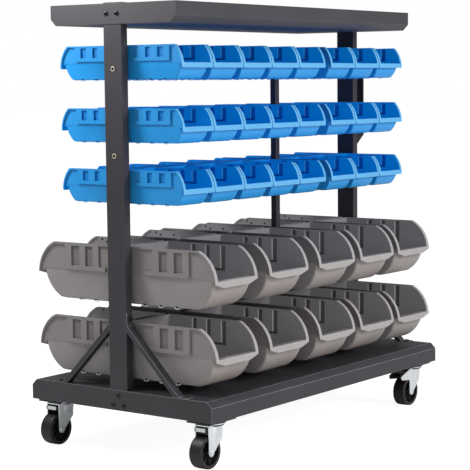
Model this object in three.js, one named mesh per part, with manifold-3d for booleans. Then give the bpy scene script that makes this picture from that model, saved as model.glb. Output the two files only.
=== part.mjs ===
// Mobile bin cart: a sheet-steel frame on four swivel casters, with five rails of open-front
// storage bins on each long side, a shelf tray on top and a push handle on the far end.
// Millimetres, +Z up. X runs along the cart, -Y is the front side, and Z = 0 is the floor.
import * as THREE from "three";
import { mergeVertices } from "three/addons/utils/BufferGeometryUtils.js";
import Module from "manifold-3d";

const wasm = await Module();
wasm.setup();

// Frame sizes
const frameLength = 944;
const sheet = 2;
const overrun = 10;
const clearance = 0.3;
const mergeDistance = 0.001;

const baseDepth = 523;
const baseBottom = 107;
const baseHeight = 46;
const baseChamfer = 13;
const baseFlange = 80;

const trayDepth = 358;
const trayHeight = 45;
const trayChamfer = 14.5;
const trayHem = 9;

const postWidth = 50;
const postThickness = 20;
const postRise = 2;
const holeRingRadius = 5.5;
const holeRadius = 3.2;
const holeRingRise = 0.8;
const boltRadius = 4.6;
const boltRise = 2.4;
const boltSides = 8;
const roundSides = 24;
const raceSides = 16;
const tipSteps = 4;
const headSides = 6;
const boltSpacing = 30;
const boltDrop = 22;
const baseBoltLow = 34;
const baseBoltHigh = 12;

const midPostSize = 16;
const midPostFarGap = 333.5;
const midPostDrop = 6;
const midPostSetOff = 1;

const railDepth = 16;
const railHeight = 20;
const railWall = 1.5;

// Braces between the end posts and the base
const braceWidth = 20;
const braceLegDepth = 11;
const braceRise = 147;
const braceFoot = 171;
const braceTabLength = 26;
const braceFootLength = 24;
const braceLap = 4;

// Push handle on the far post
const handleDrop = 235.5;
const handleHoleSpacing = 188.8;
const handleGripHalf = 78.5;
const handleLegRun = 38;
const handleReach = 47;
const handleStrip = 4;
const handleWidth = 26;
const handleTabLength = 36;

// Casters
const casterEndInset = 54;
const casterSideInset = 43.5;
const casterTrail = 24.1;
const wheelRadius = 36.6;
const wheelWidth = 31;
const wheelBore = 4.3;
const wheelRimWidth = 7;
const wheelRecess = 8;
const axleRadius = 4;
const axleHeadRadius = 5;
const axleHeadRise = 2;
const plateLength = 93;
const plateWidth = 65;
const plateThickness = 3;
const padInset = 9;
const padThickness = 3;
const raceRadius = 28;
const raceHeight = 4.4;
const crownRadius = 24;
const crownGap = 0.4;
const crownThickness = 3;
const crownFront = 16;
const forkWall = 2.5;
const forkGap = 1.2;
const legTipRadius = 9.3;
const legShoulderRise = 27;
const legShoulderInset = 2.5;

// Braked forks on the far casters, with arms that reach back beside the pedal
const armBack = 75;
const armTipRise = 43.5;
const armFootBack = 71;
const armFootRise = 35;
const armRootRise = 31;

// Brake pedals on the far casters
const pedalWidth = 30;
const pedalThickness = 2;
const pedalLength = 38;
const pedalBack = 72;
const pedalWheelGap = 5.3;
const cheekTopBack = 58;
const cheekTipRise = 3;
const pedalPinRadius = 2.5;
const pedalPinBack = 31.5;

// Bins. Depths are measured forward from the back wall, heights down from the rim.
const smallBin = {
  width: 107.4,
  height: 75,
  wall: 2,
  rimDepth: 146,
  lipDepth: 166.5,
  bottomDepth: 140,
  setbackDepth: 157,
  stepDrop: 38,
  lipTopDrop: 39,
  lipTurnDrop: 47,
  lipDrop: 50,
  lipChamferDrop: 2.5,
  lipChamferWidth: 2.5,
  sideInset: 0,
  stepInset: 0,
  taper: 7,
  flangeWidth: 9,
  flangeThickness: 3,
  upperSteps: 3,
  lowerSteps: 2,
};
const largeBin = {
  width: 151.5,
  height: 129,
  wall: 2.5,
  rimDepth: 201,
  lipDepth: 248,
  bottomDepth: 190,
  setbackDepth: 235,
  stepDrop: 62,
  lipTopDrop: 64,
  lipTurnDrop: 73,
  lipDrop: 79,
  lipChamferDrop: 9,
  lipChamferWidth: 31,
  sideInset: 2.5,
  stepInset: 3,
  taper: 8,
  flangeWidth: 11,
  flangeThickness: 3.5,
  upperSteps: 5,
  lowerSteps: 4,
};
const hookReach = 4.3;
const hookThickness = 2;
const hookDrop = 9;
const hookMargin = 18;
const backGap = 0.5;

// Rows: the free height below each one, from the base up, then below the top tray
const largeRowGaps = [21.5, 38.5];
const smallRowGaps = [93.5, 59, 62];
const trayGap = 45;

// Rows: the free width from the near post, at the middle post's two sides, and to the far post
const smallRowEnds = { near: 2, beforePost: 3.5, afterPost: 4.5, far: 2.8 };
const largeRowEnds = { near: 3, beforePost: 2.4, afterPost: 6.3, far: 3.7 };
const leastBinGap = 1;

// Rim heights of the rows that stand on a level, from the top one down
function rimsAbove(level, gaps, height) {
  const rims = [];
  for (const gap of gaps) {
    rims.unshift((rims[0] ?? level) + gap + height);
  }
  return rims;
}

// Worked-out places
const baseTop = baseBottom + baseHeight;
const largeRims = rimsAbove(baseTop, largeRowGaps, largeBin.height);
const smallRims = rimsAbove(largeRims[0], smallRowGaps, smallBin.height);
const trayBottom = smallRims[0] + trayGap;
const trayTop = trayBottom + trayHeight;
const braceTop = baseTop + braceRise;
const handleMiddle = trayTop - handleDrop;
const postOuter = frameLength / 2 - sheet;
const postInner = postOuter - postThickness;
const postMiddle = postOuter - postThickness / 2;
const midPostFar = postInner - midPostFarGap;
const midPostNear = midPostFar - midPostSize;
const casterX = frameLength / 2 - casterEndInset;
const casterY = baseDepth / 2 - casterSideInset;
const pedalBottom = wheelRadius + wheelRadius + pedalWheelGap;
const railHalf = railDepth / 2;
const railInner = railHalf - railWall;
const binBack = railHalf + backGap;
const axleHeight = wheelRadius;
const plateTop = baseBottom - padThickness;
const plateFoot = plateTop - plateThickness;
const crownTop = plateFoot - raceHeight - crownGap;
const crownBack = casterTrail + legTipRadius;
const forkInnerHalf = wheelWidth / 2 + forkGap;
const forkOuterHalf = forkInnerHalf + forkWall;
const cartHighEnd = postOuter + handleReach + handleStrip;
const cartLowEnd = -casterX - casterTrail - wheelRadius;
const cartMiddle = (cartHighEnd + cartLowEnd) / 2;

// A closed geometry as a solid
function solid(geometry) {
  const plain = geometry.clone();
  plain.deleteAttribute("normal");
  plain.deleteAttribute("uv");
  const merged = mergeVertices(plain, mergeDistance);
  return new wasm.Manifold(
    new wasm.Mesh({
      numProp: 3,
      vertProperties: new Float32Array(merged.attributes.position.array),
      triVerts: new Uint32Array(merged.index.array),
    }),
  );
}

// A solid as a geometry for a mesh
function geometryOf(made) {
  const mesh = made.getMesh();
  const geometry = new THREE.BufferGeometry();
  geometry.setAttribute("position", new THREE.BufferAttribute(mesh.vertProperties, 3));
  geometry.setIndex(new THREE.BufferAttribute(mesh.triVerts, 1));
  geometry.computeVertexNormals();
  return geometry;
}

function joined(solids) {
  return solids.reduce((sum, next) => sum.add(next));
}

function without(body, cuts) {
  return cuts.reduce((left, cut) => left.subtract(cut), body);
}

function block(x0, x1, y0, y1, z0, z1) {
  const geometry = new THREE.BoxGeometry(x1 - x0, y1 - y0, z1 - z0);
  geometry.translate((x0 + x1) / 2, (y0 + y1) / 2, (z0 + z1) / 2);
  return solid(geometry);
}

function outline(points) {
  return new THREE.Shape(points.map(([a, b]) => new THREE.Vector2(a, b)));
}

function extruded(points, length) {
  return new THREE.ExtrudeGeometry(outline(points), { depth: length, bevelEnabled: false });
}

// A prism along X from an outline in Y and Z
function prismX(points, x0, x1) {
  const geometry = extruded(points, x1 - x0);
  const turn = new THREE.Matrix4().makeBasis(
    new THREE.Vector3(0, 1, 0),
    new THREE.Vector3(0, 0, 1),
    new THREE.Vector3(1, 0, 0),
  );
  geometry.applyMatrix4(turn);
  geometry.translate(x0, 0, 0);
  return geometry;
}

// A prism along Y from an outline in X and Z
function prismY(points, y0, y1) {
  const geometry = extruded(points, y1 - y0);
  const turn = new THREE.Matrix4().makeBasis(
    new THREE.Vector3(1, 0, 0),
    new THREE.Vector3(0, 0, 1),
    new THREE.Vector3(0, -1, 0),
  );
  geometry.applyMatrix4(turn);
  geometry.translate(0, y1, 0);
  return geometry;
}

function rod(axis, radius, from, to, sides, a, b) {
  const geometry = new THREE.CylinderGeometry(radius, radius, to - from, sides);
  if (axis === "x") {
    geometry.rotateZ(Math.PI / 2);
    geometry.translate((from + to) / 2, a, b);
  } else if (axis === "y") {
    geometry.translate(a, (from + to) / 2, b);
  } else {
    geometry.rotateX(Math.PI / 2);
    geometry.translate(a, b, (from + to) / 2);
  }
  return solid(geometry);
}

// Points of an arc that starts at the first point and ends upright at the second one
function uprightArc(start, end, steps) {
  const [u0, z0] = start;
  const [u1, z1] = end;
  const run = u1 - u0;
  const fall = z1 - z0;
  const radius = (run * run + fall * fall) / (2 * run);
  const centre = u1 - radius;
  const first = Math.atan2(z0 - z1, u0 - centre);
  return Array.from({ length: steps + 1 }, (_, i) => {
    const angle = first * (1 - i / steps);
    return [centre + radius * Math.cos(angle), z1 + radius * Math.sin(angle)];
  });
}

// Frame

// Section of a folded tray: a flat web with chamfered corners and side walls
function traySection(depth, bottom, height, chamfer, inset, webUp) {
  const half = depth / 2 - inset;
  const flat = half - chamfer + inset * (Math.SQRT2 - 1);
  const web = webUp ? bottom + height - inset : bottom + inset;
  const sign = webUp ? -1 : 1;
  const shoulder = web + sign * (half - flat);
  const mouth = webUp ? bottom : bottom + height;
  return { half, flat, web, shoulder, mouth };
}

function trayOutline(s) {
  return [
    [-s.half, s.mouth],
    [-s.half, s.shoulder],
    [-s.flat, s.web],
    [s.flat, s.web],
    [s.half, s.shoulder],
    [s.half, s.mouth],
  ];
}

function foldedTray(depth, bottom, height, chamfer, hem, webUp) {
  const outer = traySection(depth, bottom, height, chamfer, 0, webUp);
  const inner = traySection(depth, bottom, height, chamfer, sheet, webUp);
  const out = webUp ? -1 : 1;
  const half = frameLength / 2;
  const whole = solid(prismX(trayOutline(outer), -half, half));
  const hollowOutline = trayOutline({ ...inner, mouth: inner.mouth - out * sheet });
  const hollow = solid(prismX(hollowOutline, -half + sheet, half - sheet));
  const mouthOut = outer.mouth + out * overrun;
  const mouthIn = outer.mouth - out * overrun;
  const mouth = block(
    -half + hem,
    half - hem,
    -depth / 2 + hem,
    depth / 2 - hem,
    Math.min(mouthOut, mouthIn),
    Math.max(mouthOut, mouthIn),
  );
  return without(whole, [hollow, mouth]);
}

function postSlots(z0, z1) {
  const halfWidth = postWidth / 2 + clearance;
  return [-1, 1].map((side) => {
    const inner = side * (postInner - clearance);
    const outer = side * postOuter;
    return block(Math.min(inner, outer), Math.max(inner, outer), -halfWidth, halfWidth, z0, z1);
  });
}

function endBolts(places) {
  const bolts = [];
  for (const side of [-1, 1]) {
    const face = (side * frameLength) / 2;
    const root = face - (side * sheet) / 2;
    const tip = face + side * boltRise;
    for (const [y, z] of places) {
      bolts.push(rod("x", boltRadius, Math.min(root, tip), Math.max(root, tip), boltSides, y, z));
    }
  }
  return bolts;
}

function baseTray() {
  const tray = foldedTray(baseDepth, baseBottom, baseHeight, baseChamfer, baseFlange, true);
  const slots = postSlots(baseBottom - overrun, baseTop + overrun);
  const bolts = endBolts([
    [0, baseTop - baseBoltHigh],
    [-boltSpacing / 2, baseTop - baseBoltLow],
    [boltSpacing / 2, baseTop - baseBoltLow],
  ]);
  return joined([without(tray, slots), ...bolts]);
}

function topTray() {
  const tray = foldedTray(trayDepth, trayBottom, trayHeight, trayChamfer, trayHem, false);
  const slots = postSlots(trayBottom - overrun, trayTop + overrun);
  const bolts = endBolts([
    [-boltSpacing / 2, trayTop - boltDrop],
    [boltSpacing / 2, trayTop - boltDrop],
  ]);
  return joined([without(tray, slots), ...bolts]);
}

function endPost(side) {
  const inner = side * postInner;
  const outer = side * postOuter;
  const tube = block(
    Math.min(inner, outer),
    Math.max(inner, outer),
    -postWidth / 2,
    postWidth / 2,
    baseBottom,
    trayTop + postRise,
  );
  const bore = block(
    side * postMiddle - postThickness / 2 + sheet,
    side * postMiddle + postThickness / 2 - sheet,
    -postWidth / 2 + sheet,
    postWidth / 2 - sheet,
    baseBottom - overrun,
    trayTop - overrun,
  );
  const post = without(tube, [bore]);
  if (side > 0) {
    return post;
  }
  const heights = [-1, 1].map((up) => handleMiddle + (up * handleHoleSpacing) / 2);
  const rings = heights.map((z) =>
    rod("x", holeRingRadius, outer - holeRingRise, outer + sheet / 2, boltSides, 0, z),
  );
  const holes = heights.map((z) =>
    rod("x", holeRadius, outer - overrun, outer + postThickness / 2, boltSides, 0, z),
  );
  return without(joined([post, ...rings]), holes);
}

function midPost() {
  const top = smallRims[0] - midPostDrop;
  const front = -railHalf - midPostSetOff;
  const tube = block(midPostNear, midPostFar, front - midPostSize, front, baseTop, top);
  const bore = block(
    midPostNear + railWall,
    midPostFar - railWall,
    front - midPostSize + railWall,
    front - railWall,
    baseTop - overrun,
    top - railWall,
  );
  return without(tube, [bore]);
}

function binRail(rim) {
  const top = rim - hookThickness;
  const bar = block(-postInner, postInner, -railHalf, railHalf, top - railHeight, top);
  const channel = block(
    -postInner - overrun,
    postInner + overrun,
    -railInner,
    railInner,
    top - railHeight + railWall,
    top + overrun,
  );
  return without(bar, [channel]);
}

// A brace is a folded channel on a slant, with a flat tab at each end
function brace(side, face) {
  const x = side * postMiddle;
  const postFace = postWidth / 2;
  const top = [postFace, braceTop];
  const foot = [braceFoot, baseTop];
  const length = Math.hypot(foot[0] - top[0], foot[1] - top[1]);
  const inwardY = (foot[1] - top[1]) / length;
  const inwardZ = (top[0] - foot[0]) / length;
  const strip = (thickness) => [
    top,
    foot,
    [foot[0] + inwardY * thickness, foot[1] + inwardZ * thickness],
    [top[0] + inwardY * thickness, top[1] + inwardZ * thickness],
  ];
  const flip = (points) => points.map(([y, z]) => [face * y, z]);
  const ordered = (points) => (face < 0 ? points : points.slice().reverse());
  const half = braceWidth / 2;
  const web = solid(prismX(ordered(flip(strip(sheet))), x - half, x + half));
  const legs = [
    solid(prismX(ordered(flip(strip(braceLegDepth))), x - half, x - half + sheet)),
    solid(prismX(ordered(flip(strip(braceLegDepth))), x + half - sheet, x + half)),
  ];
  const near = face * postFace;
  const far = face * (braceFoot + overrun);
  const room = block(
    x - half - overrun,
    x + half + overrun,
    Math.min(near, far),
    Math.max(near, far),
    baseTop,
    braceTop + overrun,
  );
  const slant = joined([web, ...legs]).intersect(room);
  const tabFace = face * (postFace + sheet);
  const tab = block(
    x - half,
    x + half,
    Math.min(near, tabFace),
    Math.max(near, tabFace),
    braceTop - braceLap,
    braceTop + braceTabLength,
  );
  const tabBolt = rod(
    "y",
    boltRadius,
    Math.min(near, tabFace + face * boltRise),
    Math.max(near, tabFace + face * boltRise),
    boltSides,
    x,
    braceTop + braceTabLength / 2,
  );
  const footStart = face * (braceFoot - braceLap);
  const footEnd = face * (braceFoot + braceFootLength);
  const sole = block(
    x - half,
    x + half,
    Math.min(footStart, footEnd),
    Math.max(footStart, footEnd),
    baseTop,
    baseTop + sheet,
  );
  const soleBolt = rod(
    "z",
    boltRadius,
    baseTop,
    baseTop + sheet + boltRise,
    boltSides,
    x,
    face * (braceFoot + braceFootLength / 2),
  );
  return joined([slant, tab, tabBolt, sole, soleBolt]);
}

function pushHandle() {
  const start = postOuter;
  const end = postOuter + handleReach + handleStrip;
  const outerHalf = handleGripHalf + handleLegRun;
  const rootHalf = outerHalf - (handleStrip * Math.hypot(end - start, handleLegRun)) / (end - start);
  const gripInner = handleGripHalf - handleStrip;
  const half = handleWidth / 2;
  const band = [
    [start, handleMiddle - outerHalf],
    [end, handleMiddle - handleGripHalf],
    [end, handleMiddle + handleGripHalf],
    [start, handleMiddle + outerHalf],
    [start, handleMiddle + rootHalf],
    [end - handleStrip, handleMiddle + gripInner],
    [end - handleStrip, handleMiddle - gripInner],
    [start, handleMiddle - rootHalf],
  ];
  const parts = [solid(prismY(band, -half, half))];
  for (const up of [-1, 1]) {
    const root = handleMiddle + up * (outerHalf - handleStrip / 2);
    const tip = root - up * handleTabLength;
    const boltZ = handleMiddle + (up * handleHoleSpacing) / 2;
    parts.push(block(start, start + sheet, -half, half, Math.min(root, tip), Math.max(root, tip)));
    parts.push(rod("x", boltRadius, start, start + sheet + boltRise, boltSides, 0, boltZ));
  }
  return joined(parts);
}

// Bins, made with the back wall at Y = 0, the front towards -Y and the rim at Z = 0

function forward(points) {
  return points.map(([u, z]) => [-u, z]);
}

// Narrows a bin body below its step: each side leans in with depth
function leaned(geometry, bin, half) {
  const position = geometry.getAttribute("position");
  for (let i = 0; i < position.count; i += 1) {
    const share = (-position.getZ(i) - bin.stepDrop) / (bin.height - bin.stepDrop);
    const inset = Math.max(share, 0) * bin.taper;
    position.setX(i, Math.sign(position.getX(i)) * (half - inset));
  }
  return geometry;
}

// The front edge line of the side walls, from the rim round to the foot of the lip
function frontCurve(bin, inset) {
  const start = [bin.rimDepth - inset, -inset];
  const end = [bin.lipDepth - inset, -bin.lipTurnDrop];
  return [...uprightArc(start, end, bin.upperSteps), [bin.lipDepth - inset, -bin.lipDrop]];
}

// The front wall below the lip, from its top down to the floor
function lowerCurve(bin, inset) {
  return uprightArc(
    [bin.bottomDepth - inset, -bin.height + inset],
    [bin.setbackDepth - inset, -bin.stepDrop],
    bin.lowerSteps,
  ).reverse();
}

// A curve cut off level at a drop below the rim
function curveDownTo(curve, drop) {
  const kept = curve.filter(([, z]) => z > -drop);
  const [u0, z0] = kept[kept.length - 1];
  const [u1, z1] = curve[kept.length];
  const share = (-drop - z0) / (z1 - z0);
  return [...kept, [u0 + (u1 - u0) * share, -drop]];
}

// Side walls and back above the step, with the lip and the shelf that carries it
function upperBody(bin) {
  const shelfFoot = -bin.lipTopDrop - bin.wall;
  const front = bin.setbackDepth - bin.wall;
  const lipBack = bin.lipDepth - bin.flangeThickness;
  return [
    [0, -bin.stepDrop],
    [0, 0],
    ...frontCurve(bin, 0),
    [lipBack, -bin.lipDrop],
    [lipBack, shelfFoot],
    [front, shelfFoot],
    [front, -bin.stepDrop],
  ];
}

function lowerBody(bin) {
  return [[0, -bin.height], [0, -bin.stepDrop], ...lowerCurve(bin, 0)];
}

// The flange round the rim and down the front, before the inside is cut out
function flangeBand(bin) {
  const thick = bin.flangeThickness;
  return [[0, -thick], [0, 0], ...frontCurve(bin, 0), ...frontCurve(bin, thick).reverse()];
}

// The inside above the side ledge, and over the shelf down to the lip's top edge
function upperHollow(bin) {
  const thick = bin.flangeThickness;
  const ledge = -bin.stepDrop + bin.wall;
  const front = bin.setbackDepth - bin.wall;
  return [
    [bin.wall, ledge],
    [bin.wall, overrun],
    [bin.rimDepth - thick, overrun],
    ...curveDownTo(frontCurve(bin, thick), bin.lipTopDrop),
    [front, -bin.lipTopDrop],
    [front, ledge],
  ];
}

function lowerHollow(bin) {
  const top = -bin.stepDrop + bin.wall + clearance;
  return [
    [bin.wall, -bin.height + bin.wall],
    [bin.wall, top],
    [bin.setbackDepth - bin.wall, top],
    ...lowerCurve(bin, bin.wall),
  ];
}

function mouth(bin) {
  const half = bin.width / 2 - bin.flangeWidth;
  const back = -bin.rimDepth + bin.flangeThickness;
  return block(-half, half, -bin.lipDepth - overrun, back, -bin.lipTopDrop, overrun);
}

// Cuts the lower corners off the lip
function lipCorners(bin) {
  const half = bin.width / 2;
  const slope = bin.lipChamferDrop / bin.lipChamferWidth;
  const front = -bin.lipDepth - overrun;
  const back = -bin.lipDepth + bin.flangeThickness + clearance;
  return [-1, 1].map((side) => {
    const points = [
      [side * (half + overrun), -bin.lipDrop + bin.lipChamferDrop + overrun * slope],
      [side * (half - bin.lipChamferWidth), -bin.lipDrop],
      [side * (half + overrun), -bin.lipDrop - overrun],
    ];
    return solid(prismY(side > 0 ? points : points.reverse(), front, back));
  });
}

// The strip that bends over the rail's edge and drops inside it
function hookStrip(low, high) {
  const points = [
    [0, -hookThickness],
    [hookReach - hookThickness, -hookThickness],
    [hookReach - hookThickness, -hookDrop],
    [hookReach, -hookDrop],
    [hookReach, 0],
    [0, 0],
  ];
  return solid(prismX(points, low, high));
}

function bin(form) {
  const half = form.width / 2 - form.sideInset;
  const lowerHalf = half - form.stepInset;
  const inner = half - form.wall;
  const flange = form.width / 2;
  const toSolid = (points, reach) => solid(prismX(forward(points).reverse(), -reach, reach));
  const toLeaned = (points, reach) =>
    solid(leaned(prismX(forward(points).reverse(), -reach, reach), form, reach));
  const body = joined([
    toSolid(upperBody(form), half),
    toLeaned(lowerBody(form), lowerHalf),
    ...(form.sideInset > 0 ? [toSolid(flangeBand(form), flange)] : []),
  ]);
  const cuts = [
    toSolid(upperHollow(form), inner),
    toLeaned(lowerHollow(form), lowerHalf - form.wall),
    mouth(form),
    ...lipCorners(form),
  ];
  return without(body, cuts);
}

// Centres of as many bins as a stretch of rail takes, spread from its one end to its other
function spread(from, to, width) {
  const room = to - from;
  const count = Math.floor((room + leastBinGap) / (width + leastBinGap));
  const gap = count > 1 ? (room - count * width) / (count - 1) : 0;
  return Array.from({ length: count }, (_, i) => from + width / 2 + i * (width + gap));
}

function rowCentres(form, ends) {
  return [
    ...spread(-postInner + ends.near, midPostNear - ends.beforePost, form.width),
    ...spread(midPostFar + ends.afterPost, postInner - ends.far, form.width),
  ];
}

function singleBin(form) {
  const half = form.width / 2 - hookMargin;
  return joined([bin(form), hookStrip(-half, half)]);
}

// One row of small bins, linked by the hook strip that runs on behind the gap at the middle post
function smallRow(side) {
  const single = geometryOf(bin(smallBin));
  const places = rowCentres(smallBin, smallRowEnds).map((x) => (side < 0 ? x : -x));
  const row = places.map((x) => solid(single.clone().translate(x, 0, 0)));
  const reach = smallBin.width / 2 - hookMargin;
  const strip = hookStrip(Math.min(...places) - reach, Math.max(...places) + reach);
  return joined([...row, strip]);
}

// Casters, made with the swivel axis at X = Y = 0 and the wheel trailing towards -X

// The plate hangs from the base on a smaller pad and carries the swivel race
function casterPlate() {
  const halfLength = plateLength / 2;
  const halfWidth = plateWidth / 2;
  const plate = block(-halfLength, halfLength, -halfWidth, halfWidth, plateFoot, plateTop);
  const padLength = halfLength - padInset;
  const padWidth = halfWidth - padInset;
  const pad = block(-padLength, padLength, -padWidth, padWidth, plateTop, baseBottom);
  const race = rod("z", raceRadius, plateFoot - raceHeight, plateFoot, raceSides, 0, 0);
  return joined([plate, pad, race]);
}

// A fork leg hangs from the crown, narrows down its front edge and ends round the axle.
// Braked forks have an arm at the back of each leg.
function forkLeg(face, braked) {
  const x = -casterTrail;
  const tip = Array.from({ length: tipSteps + 1 }, (_, i) => {
    const angle = Math.PI + (Math.PI * i) / tipSteps;
    return [x + legTipRadius * Math.cos(angle), axleHeight + legTipRadius * Math.sin(angle)];
  });
  const arm = [
    [-armBack, axleHeight + armTipRise],
    [-armFootBack, axleHeight + armFootRise],
    [-crownBack, axleHeight + armRootRise],
  ];
  const points = [
    [-crownBack, crownTop],
    ...(braked ? arm : []),
    ...tip,
    [crownFront - legShoulderInset, axleHeight + legShoulderRise],
    [crownFront, crownTop - crownThickness],
    [crownFront, crownTop],
  ];
  const y0 = Math.min(face * forkInnerHalf, face * forkOuterHalf);
  return solid(prismY(points, y0, y0 + forkWall));
}

function casterFork(braked) {
  const plate = block(
    -crownBack,
    crownFront,
    -forkOuterHalf,
    forkOuterHalf,
    crownTop - crownThickness,
    crownTop,
  );
  const ring = rod("z", crownRadius, crownTop - crownThickness, crownTop, raceSides, 0, 0);
  const hole = rod(
    "y",
    axleRadius + clearance,
    -forkOuterHalf - overrun,
    forkOuterHalf + overrun,
    boltSides,
    -casterTrail,
    axleHeight,
  );
  return without(joined([plate, ring, forkLeg(-1, braked), forkLeg(1, braked)]), [hole]);
}

function casterWheel() {
  const half = wheelWidth / 2;
  const rimInner = wheelRadius - wheelRimWidth;
  const web = half - wheelRecess;
  const profile = [
    [wheelBore, -web],
    [rimInner, -web],
    [rimInner, -half],
    [wheelRadius, -half],
    [wheelRadius, half],
    [rimInner, half],
    [rimInner, web],
    [wheelBore, web],
    [wheelBore, -web],
  ];
  const points = profile.map(([r, y]) => new THREE.Vector2(r, y));
  return solid(new THREE.LatheGeometry(points, roundSides));
}

function casterAxle() {
  const end = forkOuterHalf + clearance;
  const middle = [-casterTrail, axleHeight];
  const shaft = rod("y", axleRadius, -end - axleHeadRise / 2, end + axleHeadRise / 2, boltSides, ...middle);
  const heads = [-1, 1].map((face) => {
    const root = face * end;
    const tip = face * (end + axleHeadRise);
    return rod("y", axleHeadRadius, Math.min(root, tip), Math.max(root, tip), headSides, ...middle);
  });
  return joined([shaft, ...heads]);
}

// The pedal is a shallow channel with slanted cheeks, whose pin runs between the fork's walls
function brakePedal() {
  const half = pedalWidth / 2;
  const pinHeight = crownTop - crownThickness - pedalPinRadius - clearance;
  const floorTop = pedalBottom + pedalThickness;
  const tab = block(-pedalBack, -pedalBack + pedalLength, -half, half, pedalBottom, floorTop);
  const front = -pedalPinBack + pedalPinRadius;
  const cheekTop = pinHeight + pedalPinRadius;
  const side = [
    [-pedalBack, pedalBottom],
    [front, pedalBottom],
    [front, cheekTop],
    [-cheekTopBack, cheekTop],
    [-pedalBack, floorTop + cheekTipRise],
  ];
  const cheeks = [-1, 1].map((face) => {
    const y0 = Math.min(face * half, face * (half - pedalThickness));
    return solid(prismY(side, y0, y0 + pedalThickness));
  });
  const reach = forkInnerHalf - clearance;
  const pin = rod("y", pedalPinRadius, -reach, reach, boltSides, -pedalPinBack, pinHeight);
  return joined([tab, ...cheeks, pin]);
}

// Materials

function finish(color, roughness, metalness) {
  return () => new THREE.MeshStandardMaterial({ color, roughness, metalness });
}
const charcoal = finish(0x45434a, 0.55, 0.3);
const zinc = finish(0xc9cfd2, 0.35, 0.9);
const blackTyre = finish(0x1c1b1c, 0.6, 0);
const blackSteel = finish(0x222224, 0.5, 0.4);
const bluePlastic = finish(0x2c7fd0, 0.45, 0);
const greyPlastic = finish(0x87827f, 0.5, 0);

const cart = new THREE.Group();
cart.position.x = -cartMiddle;

function add(name, geometry, material, parent = cart) {
  const mesh = new THREE.Mesh(geometry, material());
  mesh.name = name;
  parent.add(mesh);
  return mesh;
}

function addFrame() {
  add("base_tray", geometryOf(baseTray()), charcoal);
  add("top_tray", geometryOf(topTray()), charcoal);
  add("end_post_near", geometryOf(endPost(-1)), charcoal);
  add("end_post_far", geometryOf(endPost(1)), charcoal);
  add("mid_post", geometryOf(midPost()), charcoal);
  add("push_handle", geometryOf(pushHandle()), blackSteel);
  [...smallRims, ...largeRims].forEach((rim, i) => {
    add(`bin_rail_${i + 1}`, geometryOf(binRail(rim)), charcoal);
  });
  for (const [end, side] of [["near", -1], ["far", 1]]) {
    for (const [edge, face] of [["front", -1], ["back", 1]]) {
      add(`brace_${end}_${edge}`, geometryOf(brace(side, face)), charcoal);
    }
  }
}

function addBins() {
  const large = geometryOf(singleBin(largeBin));
  for (const [edge, side] of [["front", -1], ["back", 1]]) {
    const row = geometryOf(smallRow(side));
    smallRims.forEach((rim, i) => {
      const mesh = add(`small_bins_${edge}_${i + 1}`, row, bluePlastic);
      mesh.position.set(0, side * binBack, rim);
      mesh.rotation.z = side < 0 ? 0 : Math.PI;
    });
    largeRims.forEach((rim, i) => {
      rowCentres(largeBin, largeRowEnds).forEach((x, k) => {
        const mesh = add(`large_bin_${edge}_${i + 1}_${k + 1}`, large, greyPlastic);
        mesh.position.set(x, side * binBack, rim);
        mesh.rotation.z = side < 0 ? 0 : Math.PI;
      });
    });
  }
}

function addCasters() {
  const plate = geometryOf(casterPlate());
  const forks = { near: geometryOf(casterFork(false)), far: geometryOf(casterFork(true)) };
  const wheel = geometryOf(casterWheel());
  const axle = geometryOf(casterAxle());
  const pedal = geometryOf(brakePedal());
  for (const [end, side] of [["near", -1], ["far", 1]]) {
    for (const [edge, face] of [["front", -1], ["back", 1]]) {
      const caster = new THREE.Group();
      caster.position.set(side * casterX, face * casterY, 0);
      cart.add(caster);
      const tag = `${end}_${edge}`;
      add(`caster_plate_${tag}`, plate, zinc, caster);
      add(`caster_fork_${tag}`, forks[end], zinc, caster);
      const turning = add(`caster_wheel_${tag}`, wheel, blackTyre, caster);
      turning.position.set(-casterTrail, 0, axleHeight);
      add(`caster_axle_${tag}`, axle, zinc, caster);
      if (side > 0) {
        add(`brake_pedal_${tag}`, pedal, blackSteel, caster);
      }
    }
  }
}

addFrame();
addBins();
addCasters();

export default cart;
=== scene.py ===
import math
from types import SimpleNamespace

import bmesh
import bpy
from mathutils import Matrix, Vector


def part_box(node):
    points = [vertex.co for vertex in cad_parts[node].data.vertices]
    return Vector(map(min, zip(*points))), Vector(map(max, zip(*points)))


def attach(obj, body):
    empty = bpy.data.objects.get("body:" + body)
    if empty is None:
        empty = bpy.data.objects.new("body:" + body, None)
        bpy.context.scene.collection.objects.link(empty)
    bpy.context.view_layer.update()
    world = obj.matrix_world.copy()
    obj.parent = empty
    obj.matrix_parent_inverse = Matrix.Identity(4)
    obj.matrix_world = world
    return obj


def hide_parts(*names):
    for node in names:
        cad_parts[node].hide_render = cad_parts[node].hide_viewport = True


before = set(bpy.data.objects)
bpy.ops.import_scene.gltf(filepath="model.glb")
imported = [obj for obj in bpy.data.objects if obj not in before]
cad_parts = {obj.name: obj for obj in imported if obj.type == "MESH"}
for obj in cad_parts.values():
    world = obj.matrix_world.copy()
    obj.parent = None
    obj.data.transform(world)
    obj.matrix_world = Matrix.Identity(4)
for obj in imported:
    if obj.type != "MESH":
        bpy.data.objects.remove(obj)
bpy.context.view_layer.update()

# Camera
CAMERA_PLACE = (-3.16797, -2.34423, 0.8297)
CAMERA_YAW = 0.6313
CAMERA_PITCH = -0.1055
CAMERA_ROLL = -0.0092
PHOTO_WIDTH = 470
PHOTO_FOCAL_PIXELS = 1624.8
PHOTO_CENTRE_PIXELS = (258.8, 253.4)
SENSOR = 0.036
MILLIMETRES_PER_METRE = 1000
CLIP_END = 100

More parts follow.
